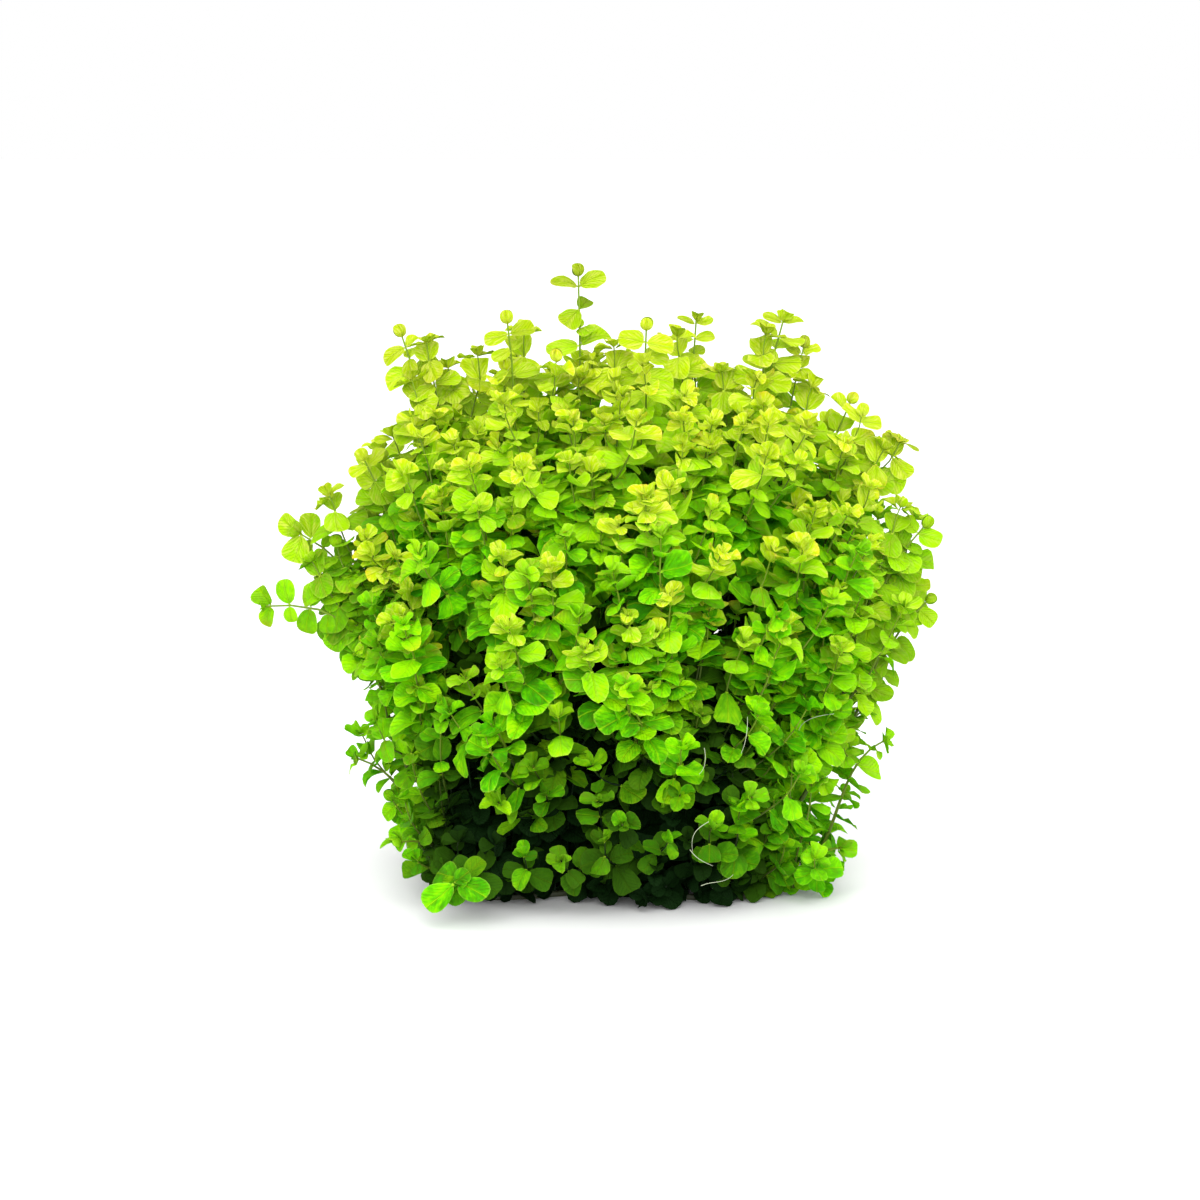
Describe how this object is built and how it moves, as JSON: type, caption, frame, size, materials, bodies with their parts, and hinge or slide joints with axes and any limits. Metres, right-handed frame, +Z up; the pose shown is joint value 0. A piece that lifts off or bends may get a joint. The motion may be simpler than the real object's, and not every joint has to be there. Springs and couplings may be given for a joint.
{
  "type": "creeping jenny plant",
  "caption": "Bushy clump of creeping jenny: round paired lime-green leaves on thin upright and trailing stems, cut off flat at the ground.",
  "frame": {"origin": "on the ground plane, under the middle of the clump's box", "axes": "+X along the clump's width, to the right in the picture; +Y to its back; +Z up"},
  "size_m": [0.3162, 0.2496, 0.2823],
  "materials": {
    "leaf": "satin living leaf, a little see-through to light",
    "stem": "satin green stem",
    "runner": "dull olive creeping stem"
  },
  "bodies": {
    "root": {"leafy_shoot_01": "leaf", "leafy_shoot_02": "leaf", "leafy_shoot_03": "leaf", "leafy_shoot_04": "leaf", "leafy_shoot_05": "leaf", "leafy_shoot_06": "leaf", "leafy_shoot_07": "leaf", "leafy_shoot_08": "leaf", "leafy_shoot_09": "leaf", "leafy_shoot_10": "leaf", "leafy_shoot_11": "leaf", "leafy_shoot_12": "leaf", "leafy_shoot_13": "leaf", "leafy_shoot_14": "leaf", "leafy_shoot_15": "leaf", "leafy_shoot_16": "leaf", "leafy_shoot_17": "leaf", "leafy_shoot_18": "leaf", "leafy_shoot_19": "leaf", "leafy_shoot_20": "leaf", "leafy_shoot_21": "leaf", "leafy_shoot_22": "leaf", "leafy_shoot_23": "leaf", "leafy_shoot_24": "leaf", "leafy_shoot_25": "leaf", "leafy_shoot_26": "leaf", "leafy_shoot_27": "leaf", "leafy_shoot_28": "leaf", "leafy_shoot_29": "leaf", "leafy_shoot_30": "leaf", "leafy_shoot_31": "leaf", "leafy_shoot_32": "leaf", "leafy_shoot_33": "leaf", "leafy_shoot_34": "leaf", "trailing_shoot_01": "leaf", "trailing_shoot_02": "leaf", "trailing_shoot_03": "leaf", "trailing_shoot_04": "leaf", "trailing_shoot_05": "leaf", "trailing_shoot_06": "leaf", "trailing_shoot_07": "leaf", "trailing_shoot_08": "leaf", "trailing_shoot_09": "leaf", "trailing_shoot_10": "leaf", "stem_01": "stem", "stem_02": "stem", "stem_03": "stem", "stem_04": "stem", "stem_05": "stem", "stem_06": "stem", "stem_07": "stem", "stem_08": "stem", "stem_09": "stem", "stem_10": "stem", "stem_11": "stem", "runner_1": "runner", "runner_2": "runner", "runner_3": "runner", "runner_4": "runner", "runner_5": "runner"}
  },
  "joints": []
}
